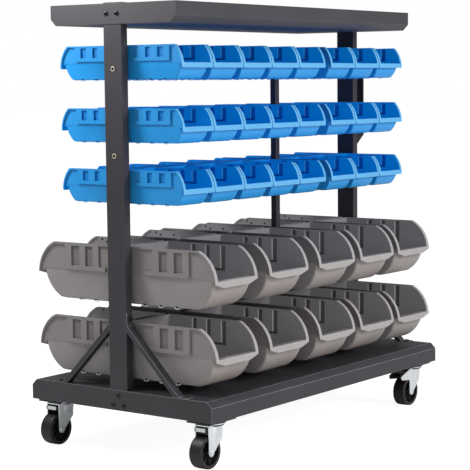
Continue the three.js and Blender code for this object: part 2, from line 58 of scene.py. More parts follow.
# Floor and light. A lamp has a name, a place, an aim, a size in metres and its watts.
FLOOR_HALF = 30
FLOOR_BOUNCE = 0.8
FLOOR_SHADE = 0.35
FLOOR_GLOW = 0.93
WORLD_FILL = 0.27
LAMPS = (
    ("key", (0.3, -4.2, 2.0), (0, 0, 0.5), 1.6, 135),
    ("side", (-1.0, 0.6, 1.4), (-0.4, 0, 0.8), 0.4, 13.5),
    ("low", (-2.2, -2.4, 0.25), (-0.4, 0, 0.06), 0.4, 5),
    ("top", (0.3, 0.2, 4.0), (0, 0, 0.5), 3.0, 35),
)

# Bins: depths run forward from the back wall, drops run down from the rim.
# A bar of a side wall's comb is given by the depths of its back and front.
# On the large bin the rim's outer sides get the lip's painted highlight.
LARGE_BIN = SimpleNamespace(
    width=0.1515, height=0.129, wall=0.0025, relief=0.0045, mouth_step=0.0025, painted_rim_highlight=True,
    rim_depth=0.201, lip_depth=0.248, bottom_depth=0.190, setback_depth=0.235,
    step_drop=0.062, lip_top_drop=0.064, turn_drop=0.073, lip_drop=0.079,
    corner_width=0.031, corner_drop=0.009,
    lower_inset=0.001, taper=0.008, rim_thickness=0.0035, groove_depth=0.0015,
    left_bars=((0.157, 0.1754), (0.1154, 0.134), (0.073, 0.092)),
    right_bars=((0.147, 0.166), (0.1048, 0.1226), (0.0647, 0.083)),
    band_reach=0.019, band_top=0.051, band_foot=0.0605, band_radius=0.006, window_top=0.0065,
    pits=((0.1806, 0.0055), (0.166, 0.011), (0.1245, 0.0095)), pit_size=0.0046,
    lugs=(0.1305, 0.085, 0.0395), lug_length=0.014, lug_height=0.0028, lug_width=0.003,
    notch_height=0.0034, plan_radius=0.006, foot_radius=0.004, upper_steps=24, lower_steps=20,
)
SMALL_BIN = SimpleNamespace(
    width=0.1074, height=0.075, wall=0.002, relief=0.004, mouth_step=0.0012, painted_rim_highlight=False,
    rim_depth=0.146, lip_depth=0.1665, bottom_depth=0.140, setback_depth=0.157,
    step_drop=0.038, lip_top_drop=0.039, turn_drop=0.047, lip_drop=0.050,
    corner_width=0.0025, corner_drop=0.0025,
    lower_inset=0.0005, taper=0.007, rim_thickness=0.003, groove_depth=0.0012,
    left_bars=((0.1135, 0.131), (0.078, 0.0975), (0.0432, 0.064)),
    right_bars=((0.1055, 0.123), (0.070, 0.0895), (0.0352, 0.056)),
    band_reach=0.014, band_top=0.0265, band_foot=0.0345, band_radius=0.004, window_top=0.0048,
    pits=((0.136, 0.0048), (0.122, 0.0085), (0.088, 0.0075)), pit_size=0.0032,
    lugs=(0.110, 0.070, 0.030), lug_length=0.011, lug_height=0.0020, lug_width=0.002,
    notch_height=0.0026, plan_radius=0.003, foot_radius=0.003, upper_steps=20, lower_steps=16,
)
SMALL_PITCH = 0.1094
SMALL_NEAR_COUNT = 5
SMALL_FAR_COUNT = 3
HOOK_REACH = 0.0043
HOOK_THICKNESS = 0.002
HOOK_DROP = 0.009
HOOK_MARGIN = 0.018
COMB_SINK = 0.00025
PIT_OPENING = 0.005
LEAST_RADIUS = 0.0002
FOOT_SIDE_SHARE = 0.3
FOOT_FRONT_SHARE = 0.2
LIP_BAND_SHARE = 1 / 3
LUG_HOLE_SHARE = 0.7
LUG_INNER_SHARE = 0.55
LUG_STEPS = 8
NOTCH_SHARE = 0.8

# Edges, sheet steel and fasteners
SHEET_EDGE = 0.0008
THIN_EDGE = 0.0004
FINE_EDGE = 0.0002
TUBE_EDGE = 0.0015
PLASTIC_EDGE = 0.0009
HOOK_EDGE = 0.0004
EDGE_STEPS = 2
SHARP_ANGLE = 35
DOME_ANGLE = 40
FLAT_ANGLE = 0.5
BOLT_RADIUS = 0.0054
BOLT_RISE = 0.0030
BOLT_STEPS = 28
DOME_STEPS = 6
BOLT_SEAT = 0.0024
BOLT_ROOM = 0.0075
SOCKET_SHARE = 0.5
BOLT_RIM_SHARE = 0.35
SHEET = 0.002
POST_HALF = 0.025
BRACE_TAB = 0.026
BRACE_FOOT = 0.024
BASE_BOLTS = ((0, 0.012), (-0.015, 0.034), (0.015, 0.034))
TRAY_BOLTS = ((-0.015, 0.022), (0.015, 0.022))
HANDLE_HOLE_HALF = 0.0944
RING_BORE = 0.0032
RING_RADIUS = 0.0058
RING_RISE = 0.0008
CORNER_STEPS = 5
MERGE = 0.00002
NEAR = 0.0002
OVERLAP = 0.001
OVERRUN = 0.02

# Shares of a face's normal along an axis, by which faces are told apart
SQUARE_SHARE = 0.9999
FACING_SHARE = 0.9
STEEP_SHARE = 0.7
FRONT_SHARE = 0.3
LIP_SHARE = 0.2

# Wheels
WHEEL_RADIUS = 0.0366
WHEEL_STEPS = 96
WHEEL_HALF = 0.0155
TREAD_CROWN = 0.0003
TREAD_EDGE = 0.0016
TREAD_STEPS = 8
RIM_WIDTH = 0.0065
WEB_RECESS = 0.009
HUB_RADIUS = 0.0095
HUB_BORE = 0.0044
HUB_FOOT = 0.003
HUB_STEP = 0.002
SPOKES = 8
SPOKE_WIDTH = 0.0022
SPOKE_SINK = 0.004
RIM_LINE = 0.0008
RIM_LINE_RISE = 0.0002

# Swivel races and forks
SHADED_TOP = 0.092
CROWN_SEAM = 0.093
CROWN_DARK = 0.0036
FLANGE_TOP = 0.0072
FLANGE_FOOT = 0.0155
FLANGE_SHARE = 0.35
FOLD_BACK = 0.015
FOLD_CREST = 0.025
FOLD_FRONT = 0.041
FOLD_RISE = 0.0014
FOLD_DROP = 0.026
PLATE_THICKNESS = 0.006
RACE_RADIUS = 0.028
RACE_CORE = 0.006
RACE_RIM = 0.0315
RACE_LIP = 0.0012
RACE_STEPS = 56

# Surfaces: noise scales, swings of the roughness, shine and the bump's strength
SOFT_DETAIL = 3
FINE_DETAIL = 2
BLEND_START_SHARE = 0.35
BLEND_END_SHARE = 0.65
BUMP_DEPTH = 0.0002
PLASTIC = SimpleNamespace(flow=14, grain=900, smoother=0.05, rougher=0.06, bump=0.12)
COAT = SimpleNamespace(clouds=7, peel=650, swing=0.07, shine=0.45, bump=0.2)
PLATING = SimpleNamespace(
    streaks=180, stretch=(1, 1, 0.2), smoother=0.08, rougher=0.1, metal=0.6, bump=0.08,
)
RUBBER = SimpleNamespace(bloom=60, grain=1200, smoother=0.06, rougher=0.1, bump=0.15)

# A bin's plastics in the order of the face numbers, each with its name, two colours between
# which it runs, roughness, shine and a painted glow. Only the body has the plastic's own
# colour; the others paint a highlight on the lip and ribs, shade in the recesses, pits and
# inside, and light on the lower body and its front.
BODY, LIP_HIGHLIGHT, RECESS_SHADE, PIT_SHADE, INSIDE_SHADE_GLOW, LOWER_LIT, RIB_HIGHLIGHT, FRONT_LIT = range(8)
BLUE_PLASTICS = (
    ("blue_body", (0.016, 0.285, 0.690), (0.022, 0.305, 0.730), 0.38, 0.45, None),
    ("blue_lip_highlight", (0.118, 0.420, 0.750), (0.132, 0.445, 0.790), 0.40, 0.30, None),
    ("blue_recess_shade", (0.004, 0.200, 0.580), (0.006, 0.220, 0.620), 0.50, 0.30, None),
    ("blue_pit_shade", (0.000, 0.010, 0.045), (0.001, 0.016, 0.060), 0.60, 0.10, None),
    ("blue_inside_shade_glow", (0.001, 0.150, 0.430), (0.002, 0.165, 0.460), 0.50, 0.10, (0.0, 0.078, 0.255)),
    ("blue_lower_lit", (0.012, 0.325, 0.800), (0.018, 0.350, 0.840), 0.40, 0.40, None),
    ("blue_rib_highlight", (0.060, 0.360, 0.700), (0.070, 0.380, 0.740), 0.40, 0.30, (0.010, 0.090, 0.200)),
    ("blue_front_lit", (0.022, 0.310, 0.740), (0.026, 0.335, 0.780), 0.38, 0.45, None),
)
GREY_PLASTICS = (
    ("grey_body", (0.232, 0.215, 0.213), (0.255, 0.237, 0.235), 0.45, 0.30, None),
    ("grey_lip_highlight", (0.370, 0.352, 0.350), (0.405, 0.386, 0.384), 0.42, 0.30, None),
    ("grey_recess_shade", (0.170, 0.158, 0.158), (0.188, 0.176, 0.176), 0.52, 0.30, None),
    ("grey_pit_shade", (0.004, 0.004, 0.004), (0.008, 0.008, 0.008), 0.60, 0.10, None),
    ("grey_inside_shade_glow", (0.190, 0.180, 0.184), (0.212, 0.202, 0.206), 0.50, 0.15, (0.045, 0.044, 0.047)),
    ("grey_lower_lit", (0.292, 0.272, 0.272), (0.320, 0.298, 0.298), 0.45, 0.30, None),
    ("grey_rib_highlight", (0.480, 0.462, 0.460), (0.520, 0.500, 0.498), 0.40, 0.30, (0.120, 0.116, 0.118)),
    ("grey_front_lit", (0.300, 0.267, 0.252), (0.328, 0.293, 0.278), 0.40, 0.40, None),
)
# The rim line's plastic paints a highlight; the hub's is its own black.
WHEEL_PLASTICS = (
    ("wheel_rim_highlight", (0.110, 0.095, 0.090), (0.150, 0.130, 0.120), 0.40, 0.30, None),
    ("hub_plastic", (0.008, 0.008, 0.008), (0.014, 0.013, 0.013), 0.40, 0.30, None),
)

# Paints, metals and rubber: a name, two colours and a roughness
CHARCOAL = ("charcoal_coat", (0.036, 0.033, 0.039), (0.043, 0.040, 0.047), 0.46)
UNDER_COAT = ("under_coat", (0.130, 0.082, 0.062), (0.145, 0.092, 0.070), 0.50)
TRAY_COAT = ("tray_coat", (0.050, 0.048, 0.056), (0.058, 0.056, 0.065), 0.44)
# Painted highlights for the rounded edges of the trays and braces.
EDGE_HIGHLIGHT = ("edge_highlight", (0.280, 0.266, 0.280), (0.340, 0.324, 0.340), 0.30)
TRAY_EDGE_HIGHLIGHT = ("tray_edge_highlight", (0.080, 0.076, 0.086), (0.092, 0.088, 0.100), 0.36)
BLACK_PAINT = ("black_paint", (0.010, 0.010, 0.012), (0.016, 0.016, 0.018), 0.40)
# Dark steel for the brake pedals, also used as painted shade on the caster plates and races.
DARK_STEEL_AND_SHADE = ("dark_steel_and_shade", (0.006, 0.006, 0.007), (0.012, 0.012, 0.014), 0.40)
# Zinc painted dark as shade on the forks' insides, crown tops and cover rings.
PAINTED_SHADE_ZINC = ("painted_shade_zinc", (0.010, 0.010, 0.011), (0.018, 0.018, 0.020), 0.45)
BOLT_STEEL = ("bolt_steel", (0.006, 0.006, 0.007), (0.012, 0.012, 0.014), 0.24)
BRIGHT_ZINC = ("zinc_plate", (0.80, 0.84, 0.86), (0.90, 0.94, 0.96), 0.36)
SLEEVE_ZINC = ("insert_zinc", (0.62, 0.58, 0.46), (0.74, 0.70, 0.58), 0.30)
TYRE_RUBBER = ("tyre_rubber", (0.006, 0.004, 0.004), (0.012, 0.009, 0.008), 0.45)


# Small helpers

def nodes_called(start):
    """The nodes whose names begin like this, in order."""
    return sorted(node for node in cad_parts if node.startswith(start))


def new_object(name, data):
    made = bpy.data.objects.new(name, data)
    bpy.context.scene.collection.objects.link(made)
    return made


def placed(name, mesh, body, place=(0, 0, 0), turn=0):
    """A piece of the cart that rides on a body."""
    piece = new_object(name, mesh)
    piece.location = place
    piece.rotation_euler = (0, 0, turn)
    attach(piece, body)
    return piece


def closed_mesh(name, points, faces):
    mesh = bpy.data.meshes.new(name)
    mesh.from_pydata([tuple(p) for p in points], [], faces)
    shape = bmesh.new()
    shape.from_mesh(mesh)
    bmesh.ops.recalc_face_normals(shape, faces=shape.faces)
    shape.to_mesh(mesh)
    shape.free()
    return mesh


def prism(name, outline, low, high, place):
    """A closed prism: place turns an outline point and a distance into a point."""
    count = len(outline)
    points = [place(a, b, low) for a, b in outline] + [place(a, b, high) for a, b in outline]
    sides = [(i, (i + 1) % count, count + (i + 1) % count, count + i) for i in range(count)]
    caps = [tuple(range(count)), tuple(range(count, 2 * count))]
    return closed_mesh(name, points, sides + caps)


def along_x(name, outline, x0, x1):
    """A prism along X from points given as depth forward and height."""
    return prism(name, outline, x0, x1, lambda depth, z, x: (x, -depth, z))


def along_y(name, outline, y0, y1):
    return prism(name, outline, y0, y1, lambda x, z, y: (x, y, z))


def upright_prism(name, outline, z0, z1):
    """A prism along Z from points given as x and depth forward."""
    return prism(name, outline, z0, z1, lambda x, depth, z: (x, -depth, z))


def block(name, x, depth, z):
    """A box from ranges of x, depth forward and height."""
    outline = [(depth[0], z[0]), (depth[1], z[0]), (depth[1], z[1]), (depth[0], z[1])]
    return along_x(name, outline, x[0], x[1])


def loft(name, rings):
    """A closed mesh through rings that have the same number of points."""
    count = len(rings[0])
    points = [p for ring in rings for p in ring]
    faces = [tuple(range(count)), tuple(range(len(points) - count, len(points)))]
    for level in range(len(rings) - 1):
        for i in range(count):
            a = level * count + i
            b = level * count + (i + 1) % count
            faces.append((a, b, b + count, a + count))
    return closed_mesh(name, points, faces)


def turned(name, profile, steps, axis="y"):
    """A closed solid turned round an axis, from a closed profile of radius and distance."""
    points = []
    for i in range(steps):
        angle = 2 * math.pi * i / steps
        c, s = math.cos(angle), math.sin(angle)
        for radius, along in profile:
            if axis == "y":
                points.append((radius * c, along, radius * s))
            elif axis == "x":
                points.append((along, radius * c, radius * s))
            else:
                points.append((radius * c, radius * s, along))
    count = len(profile)
    faces = []
    for i in range(steps):
        for k in range(count):
            a = i * count + k
            b = i * count + (k + 1) % count
            c = ((i + 1) % steps) * count + (k + 1) % count
            d = ((i + 1) % steps) * count + k
            faces.append((a, b, c, d))
    return closed_mesh(name, points, faces)


def with_modifiers(mesh, add):
    """The mesh after the modifiers that add puts on an object that holds it."""
    holder = new_object("holder", mesh)
    add(holder)
    graph = bpy.context.evaluated_depsgraph_get()
    made = bpy.data.meshes.new_from_object(holder.evaluated_get(graph))
    bpy.data.objects.remove(holder)
    return made


def combined(mesh, other, operation):
    tool = new_object("tool", other)

    def add(holder):
        step = holder.modifiers.new("combine", "BOOLEAN")
        step.operation = operation
        step.object = tool
        step.solver = "EXACT"

    made = with_modifiers(mesh, add)
    bpy.data.objects.remove(tool)
    return made


def without(mesh, x, depth, z):
    """The mesh without a box, given like a block's."""
    return combined(mesh, block("cut", x, depth, z), "DIFFERENCE")


def tidied(mesh):
    """Merges close points and removes the edges inside flat faces."""
    shape = bmesh.new()
    shape.from_mesh(mesh)
    bmesh.ops.remove_doubles(shape, verts=shape.verts, dist=MERGE)
    flat = math.radians(FLAT_ANGLE)
    bmesh.ops.dissolve_limit(shape, angle_limit=flat, verts=shape.verts, edges=shape.edges)
    shape.to_mesh(mesh)
    shape.free()
    return mesh


def softened(mesh, width, edge=-1):
    """Rounds the sharp edges and keeps the flat faces flat. The rounds can have their own material, used
    for a painted highlight along the edges.
    """
    mesh.polygons.foreach_set("use_smooth", [True] * len(mesh.polygons))

    def add(holder):
        step = holder.modifiers.new("edges", "BEVEL")
        step.width = width
        step.segments = EDGE_STEPS
        step.limit_method = "ANGLE"
        step.angle_limit = math.radians(SHARP_ANGLE)
        step.use_clamp_overlap = True
        step.material = edge

    made = with_modifiers(mesh, add)
    for face in made.polygons:
        face.use_smooth = max(abs(part) for part in face.normal) < SQUARE_SHARE
    return made


def joined(name, meshes):
    """Several meshes as one, each keeping its own materials."""
    shape = bmesh.new()
    materials = []
    for mesh in meshes:
        start = len(shape.faces)
        shape.from_mesh(mesh)
        shape.faces.ensure_lookup_table()
        own = list(mesh.materials) or [None]
        for material in own:
            if material not in materials:
                materials.append(material)
        for face in shape.faces[start:]:
            face.material_index = materials.index(own[min(face.material_index, len(own) - 1)])
    made = bpy.data.meshes.new(name)
    shape.to_mesh(made)
    shape.free()
    for material in materials:
        made.materials.append(material)
    return made


def painted(mesh, material):
    mesh.materials.clear()
    mesh.materials.append(material)
    for face in mesh.polygons:
        face.material_index = 0
    return mesh


def shaded(mesh, angle):
    """Smooth faces, with the edges sharper than the angle kept sharp."""
    mesh.polygons.foreach_set("use_smooth", [True] * len(mesh.polygons))
    mesh.set_sharp_from_angle(angle=math.radians(angle))
    return mesh


def outward(side, near, far):
    """The range between two distances from the middle, on one side of it."""
    return sorted((side * near, side * far))


def quarter(steps):
    """The angles of a quarter turn."""
    return [math.pi / 2 * i / steps for i in range(steps + 1)]


# Materials

def node_material(name):
    """A new material, its node tree, its shader's inputs and the place on the object."""
    material = bpy.data.materials.new(name)
    material.use_nodes = True
    tree = material.node_tree
    place = tree.nodes.new("ShaderNodeTexCoord").outputs["Object"]
    return material, tree, tree.nodes["Principled BSDF"].inputs, place


def noise(tree, place, scale, detail=SOFT_DETAIL):
    made = tree.nodes.new("ShaderNodeTexNoise")
    made.inputs["Scale"].default_value = scale
    made.inputs["Detail"].default_value = detail
    tree.links.new(place, made.inputs["Vector"])
    return made.outputs["Fac"]


def blended(tree, factor, low, high):
    """A colour that runs from low to high with the factor."""
    ramp = tree.nodes.new("ShaderNodeValToRGB")
    ramp.color_ramp.elements[0].position = BLEND_START_SHARE
    ramp.color_ramp.elements[0].color = (*low, 1)
    ramp.color_ramp.elements[1].position = BLEND_END_SHARE
    ramp.color_ramp.elements[1].color = (*high, 1)
    tree.links.new(factor, ramp.inputs["Fac"])
    return ramp.outputs["Color"]


def ranged(tree, factor, low, high):
    """A number that runs from low to high with the factor."""
    made = tree.nodes.new("ShaderNodeMapRange")
    made.inputs["To Min"].default_value = low
    made.inputs["To Max"].default_value = high
    tree.links.new(factor, made.inputs["Value"])
    return made.outputs["Result"]


def bumped(tree, inputs, height, strength):
    made = tree.nodes.new("ShaderNodeBump")
    made.inputs["Strength"].default_value = strength
    made.inputs["Distance"].default_value = BUMP_DEPTH
    tree.links.new(height, made.inputs["Height"])
    tree.links.new(made.outputs["Normal"], inputs["Normal"])


def moulded_plastic(name, low, high, roughness, shine, glow):
    """Satin moulded plastic: faint flow marks in the colour, a fine grain and, where given, a painted
    glow.
    """
    material, tree, inputs, place = node_material(name)
    marks = noise(tree, place, PLASTIC.flow)
    tree.links.new(blended(tree, marks, low, high), inputs["Base Color"])
    speckle = noise(tree, place, PLASTIC.grain, FINE_DETAIL)
    rough = ranged(tree, marks, roughness - PLASTIC.smoother, roughness + PLASTIC.rougher)
    tree.links.new(rough, inputs["Roughness"])
    inputs["Specular IOR Level"].default_value = shine
    # A glow paints light onto the surface.
    if glow:
        inputs["Emission Color"].default_value = (*glow, 1)
        inputs["Emission Strength"].default_value = 1
    bumped(tree, inputs, speckle, PLASTIC.bump)
    return material


def powder_coat(name, low, high, roughness):
    """Painted or dark steel: a fine orange-peel skin and faint cloudiness."""
    material, tree, inputs, place = node_material(name)
    clouds = noise(tree, place, COAT.clouds)
    peel = noise(tree, place, COAT.peel, FINE_DETAIL)
    tree.links.new(blended(tree, clouds, low, high), inputs["Base Color"])
    rough = ranged(tree, peel, roughness - COAT.swing, roughness + COAT.swing)
    tree.links.new(rough, inputs["Roughness"])
    inputs["Specular IOR Level"].default_value = COAT.shine
    bumped(tree, inputs, peel, COAT.bump)
    return material


def zinc_plate(name, low, high, roughness):
    """Bright zinc plating with soft streaks."""
    material, tree, inputs, place = node_material(name)
    stretch = tree.nodes.new("ShaderNodeMapping")
    stretch.inputs["Scale"].default_value = PLATING.stretch
    tree.links.new(place, stretch.inputs["Vector"])
    streaks = noise(tree, stretch.outputs["Vector"], PLATING.streaks)
    tree.links.new(blended(tree, streaks, low, high), inputs["Base Color"])
    rough = ranged(tree, streaks, roughness - PLATING.smoother, roughness + PLATING.rougher)
    tree.links.new(rough, inputs["Roughness"])
    inputs["Metallic"].default_value = PLATING.metal
    bumped(tree, inputs, streaks, PLATING.bump)
    return material


def tyre_rubber(name, low, high, roughness):
    """Dark moulded rubber with a dusty bloom."""
    material, tree, inputs, place = node_material(name)
    bloom = noise(tree, place, RUBBER.bloom)
    grain = noise(tree, place, RUBBER.grain, FINE_DETAIL)
    tree.links.new(blended(tree, bloom, low, high), inputs["Base Color"])
    rough = ranged(tree, bloom, roughness - RUBBER.smoother, roughness + RUBBER.rougher)
    tree.links.new(rough, inputs["Roughness"])
    bumped(tree, inputs, grain, RUBBER.bump)
    return material


blues = [moulded_plastic(*values) for values in BLUE_PLASTICS]
greys = [moulded_plastic(*values) for values in GREY_PLASTICS]
wheel_rim_highlight, hub_plastic = [moulded_plastic(*values) for values in WHEEL_PLASTICS]
charcoal = powder_coat(*CHARCOAL)
under_coat = powder_coat(*UNDER_COAT)
tray_coat = powder_coat(*TRAY_COAT)
edge_highlight = powder_coat(*EDGE_HIGHLIGHT)
tray_edge_highlight = powder_coat(*TRAY_EDGE_HIGHLIGHT)
black_paint = powder_coat(*BLACK_PAINT)
dark_steel_and_shade = powder_coat(*DARK_STEEL_AND_SHADE)
painted_shade_zinc = powder_coat(*PAINTED_SHADE_ZINC)
bolt_steel = powder_coat(*BOLT_STEEL)
bright_zinc = zinc_plate(*BRIGHT_ZINC)
sleeve_zinc = zinc_plate(*SLEEVE_ZINC)
rubber = tyre_rubber(*TYRE_RUBBER)


# Bins, made with the back wall at Y = 0, the front towards -Y and the rim at Z = 0

def upright_circle(start, end):
    """The radius and the centre's depth of the arc from start that ends upright at end."""
    run = end[0] - start[0]
    fall = end[1] - start[1]
    radius = (run * run + fall * fall) / (2 * run)
    return radius, end[0] - radius


def upright_arc(start, end, steps):
    """Points of an arc from start that ends upright at end."""
    radius, centre = upright_circle(start, end)
    first = math.atan2(start[1] - end[1], start[0] - centre)
    points = []
    for i in range(steps + 1):
        angle = first * (1 - i / steps)
        points.append((centre + radius * math.cos(angle), end[1] + radius * math.sin(angle)))
    return points


def front_curve(form, inset):
    """The front edge line of a side wall, from the rim round to the foot of the lip."""
    start = (form.rim_depth - inset, -inset)
    end = (form.lip_depth - inset, -form.turn_drop)
    return upright_arc(start, end, form.upper_steps) + [(form.lip_depth - inset, -form.lip_drop)]


def lower_curve(form, inset):
    start = (form.bottom_depth - inset, -form.height + inset)
    end = (form.setback_depth - inset, -form.step_drop)
    return upright_arc(start, end, form.lower_steps)


def plan_ring(half, back, front, radius, z):
    """A level ring with rounded front corners."""
    points = [(-half, -back, z), (half, -back, z)]
    for side in (1, -1):
        centre = (side * (half - radius), front - radius)
        for turn in quarter(CORNER_STEPS):
            angle = turn if side > 0 else math.pi / 2 - turn
            x = centre[0] + side * radius * math.cos(angle)
            depth = centre[1] + radius * math.sin(angle)
            points.append((x, -depth, z))
    return points


def foot_half(form):
    """Half the width of the lower body at its foot."""
    return form.width / 2 - form.relief - form.lower_inset - form.taper


def lower_shell(name, form, inset, top_drop):
    """The tapered lower body, or its inside when inset by the wall."""
    half_top = form.width / 2 - form.relief - form.lower_inset - inset
    radius = max(form.plan_radius - inset, LEAST_RADIUS)
    rings = []
    curve = lower_curve(form, inset)
    foot = form.foot_radius
    side_foot = foot * FOOT_SIDE_SHARE
    front_foot = foot * FOOT_FRONT_SHARE
    for i, (depth, z) in enumerate(curve):
        share = (-z - form.step_drop) / (form.height - form.step_drop)
        half = half_top - share * form.taper
        if i == 0:
            rings.append(plan_ring(half - foot, inset + side_foot, depth - foot, radius, z))
            rings.append(plan_ring(half - side_foot, inset, depth - front_foot, radius, z + side_foot))
        else:
            rings.append(plan_ring(half, inset, depth, radius, z))
    front = rings[-1]
    rings.append([(x, y, -top_drop) for x, y, _ in front])
    return loft(name, rings)


def bin_outer(form):
    """The side walls with their lip, the band round their edges and the lower body, all solid."""
    half = form.width / 2 - form.relief
    shelf_foot = -form.lip_top_drop - form.wall
    front = form.setback_depth - form.wall
    lip_back = form.lip_depth - form.rim_thickness
    outline = [(0, -form.step_drop), (0, -OVERLAP)]
    outline += [(depth - OVERLAP, min(z, -OVERLAP)) for depth, z in front_curve(form, 0)]
    outline += [(lip_back, -form.lip_drop), (lip_back, shelf_foot)]
    outline += [(front, shelf_foot), (front, -form.step_drop)]
    body = along_x("walls", outline, -half, half)
    thick = form.rim_thickness
    band = [(0, -thick), (0, 0)] + front_curve(form, 0) + list(reversed(front_curve(form, thick)))
    body = combined(body, along_x("band", band, -form.width / 2, form.width / 2), "UNION")
    lower = lower_shell("lower", form, 0, form.step_drop - OVERLAP)
    return combined(body, lower, "UNION")


def comb_outline(form, bars):
    """The raised panel on a side wall: its front bars, and the band along its foot."""
    front = bars[0][1]
    back = bars[-1][0]
    radius = form.band_radius
    corner = []
    for angle in quarter(CORNER_STEPS):
        depth = front - radius + radius * math.cos(angle)
        corner.append((depth, -form.band_foot + radius - radius * math.sin(angle)))
    reach = back - form.band_reach
    band = [(reach, -form.band_foot), (reach, -form.band_top), (back, -form.band_top)]
    return [(front, -OVERLAP)] + corner + band + [(back, -OVERLAP)]


def side_combs(form, body):
    """A comb of bars with windows between them on each side wall. The bars on +X are hollow."""
    half = form.width / 2 - form.relief
    for side, bars in ((-1, form.left_bars), (1, form.right_bars)):
        x = outward(side, half - form.wall / 2, form.width / 2 - COMB_SINK)
        body = combined(body, along_x("comb", comb_outline(form, bars), x[0], x[1]), "UNION")
        if side > 0:
            body = hollow_bars(form, body, bars)
        x = outward(side, half, half + OVERRUN)
        for (_, window_back), (window_front, _) in zip(bars[1:], bars):
            body = without(body, x, (window_back, window_front), (-form.band_top, -form.window_top))
    return body


def hollow_bars(form, body, bars):
    """Slots inside the +X comb's bars and band, which its wall leaves open to the bin's hollow."""
    wall = form.wall
    x = (form.width / 2 - form.relief - wall * 2, form.width / 2 - COMB_SINK - wall)
    foot = -form.band_foot + wall
    for back, front in bars:
        body = without(body, x, (back + wall, front - wall), (foot, -form.rim_thickness))
    run = (bars[-1][0] - form.band_reach + wall, bars[0][1] - wall)
    return without(body, x, run, (foot, -form.band_top - wall))


def bin_inside(form, body):
    """Takes out the hollow, the mouth and the lower body's hollow, and bevels the lip's corners."""
    half = form.width / 2 - form.relief - form.wall
    ledge = -form.step_drop + form.wall
    front = form.setback_depth - form.wall
    mouth = form.lip_depth + OVERRUN
    thick = form.rim_thickness
    inner = [point for point in front_curve(form, thick) if point[1] > -form.lip_top_drop]
    hollow = [(form.wall, ledge), (form.wall, OVERRUN), (form.rim_depth - thick, OVERRUN)]
    hollow += inner + [(inner[-1][0], -form.lip_top_drop), (front, -form.lip_top_drop), (front, ledge)]
    body = combined(body, along_x("hollow", hollow, -half, half), "DIFFERENCE")
    opening = half - form.mouth_step
    way = (form.rim_depth - thick * 2, mouth)
    body = without(body, (-opening, opening), way, (-form.lip_top_drop, OVERRUN))
    lower = lower_shell("lower_hollow", form, form.wall, -ledge - OVERLAP)
    body = combined(body, lower, "DIFFERENCE")
    slope = form.corner_drop / form.corner_width
    lip_back = -form.lip_depth + form.rim_thickness + OVERLAP
    for side in (-1, 1):
        edge = side * (form.width / 2 + OVERRUN)
        corner = [
            (edge, -form.lip_drop + form.corner_drop + OVERRUN * slope),
            (side * (form.width / 2 - form.corner_width), -form.lip_drop),
            (edge, -form.lip_drop - OVERRUN),
        ]
        cut = along_y("corner", corner, -form.lip_depth - OVERRUN, lip_back)
        body = combined(body, cut, "DIFFERENCE")
    return body


def small_cuts(form, body):
    """Pits inside the -X wall, and notches in the lower edges where the loops sit."""
    inner = form.width / 2 - form.relief - form.wall
    reach = form.pit_size / 2
    x = (-inner - form.groove_depth, -inner + PIT_OPENING)
    for middle, drop in form.pits:
        body = without(body, x, (middle - reach, middle + reach), (-drop - reach, -drop + reach))
    half = foot_half(form)
    reach = form.lug_length * LUG_HOLE_SHARE / 2
    z = (-form.height - OVERRUN, -form.height + form.notch_height)
    for side in (-1, 1):
        x = outward(side, half - form.foot_radius * NOTCH_SHARE, half + OVERRUN)
        for place in form.lugs:
            body = without(body, x, (place - reach, place + reach), z)
    return body


def half_loop(form, middle, share):
    """Points of a loop's lower half, or of its opening when the share is below one."""
    points = []
    for i in range(LUG_STEPS + 1):
        angle = math.pi + math.pi * i / LUG_STEPS
        depth = middle + form.lug_length / 2 * share * math.cos(angle)
        points.append((depth, -form.height + form.lug_height * share * math.sin(angle)))
    return points


def bottom_lugs(form):
    """Small loops along the lower side edges."""
    made = []
    half = foot_half(form)
    reach = form.lug_length / 2
    root = -form.height + OVERLAP
    for side in (-1, 1):
        x = outward(side, half - form.lug_width, half)
        for middle in form.lugs:
            outline = [(middle - reach, root)] + half_loop(form, middle, 1) + [(middle + reach, root)]
            outline += list(reversed(half_loop(form, middle, LUG_INNER_SHARE)))
            made.append(along_x("lug", outline, x[0], x[1]))
    return made


def hook(low, high):
    """The strip that bends over the rail's edge and drops inside it."""
    lip = HOOK_REACH - HOOK_THICKNESS
    outline = [
        (0, -HOOK_THICKNESS), (-lip, -HOOK_THICKNESS), (-lip, -HOOK_DROP),
        (-HOOK_REACH, -HOOK_DROP), (-HOOK_REACH, 0), (0, 0),
    ]
    return along_x("hook", outline, low, high)


def in_pit(form, face):
    """Whether a face belongs to the pit near the rim or to a notch in the lower edge."""
    depth, z = -face.center.y, face.center.z
    reach = form.pit_size / 2 + MERGE
    inner = form.width / 2 - form.relief - form.wall
    near_pit = any(abs(depth - middle) <= reach and abs(z + drop) <= reach for middle, drop in form.pits)
    if near_pit and -inner - form.groove_depth - MERGE < face.center.x < -inner - MERGE:
        return True
    upright = abs(face.normal.z) < FACING_SHARE
    near_foot = z < -form.height + form.notch_height + MERGE and upright
    reach = form.lug_length * LUG_HOLE_SHARE / 2
    near_loop = any(abs(depth - place) <= reach for place in form.lugs)
    return near_foot and near_loop and abs(face.center.x) > foot_half(form) - form.foot_radius


def in_window(form, face):
    """Whether a face is the floor of a window in a side wall's comb."""
    x, depth, drop = face.center.x, -face.center.y, -face.center.z
    half = form.width / 2 - form.relief
    if abs(abs(x) - half) > NEAR or abs(face.normal.x) < FACING_SHARE:
        return False
    bars = form.left_bars if x < 0 else form.right_bars
    return bars[-1][1] < depth < bars[0][0] and form.window_top < drop < form.band_top


def in_slot(form, face):
    """Whether a face belongs to the slots inside the +X comb's bars."""
    inner = form.width / 2 - form.relief - form.wall
    inside = inner + MERGE < face.center.x < form.width / 2 - form.wall
    behind = -face.center.y < form.right_bars[0][1]
    return inside and behind and -face.center.z < form.band_foot


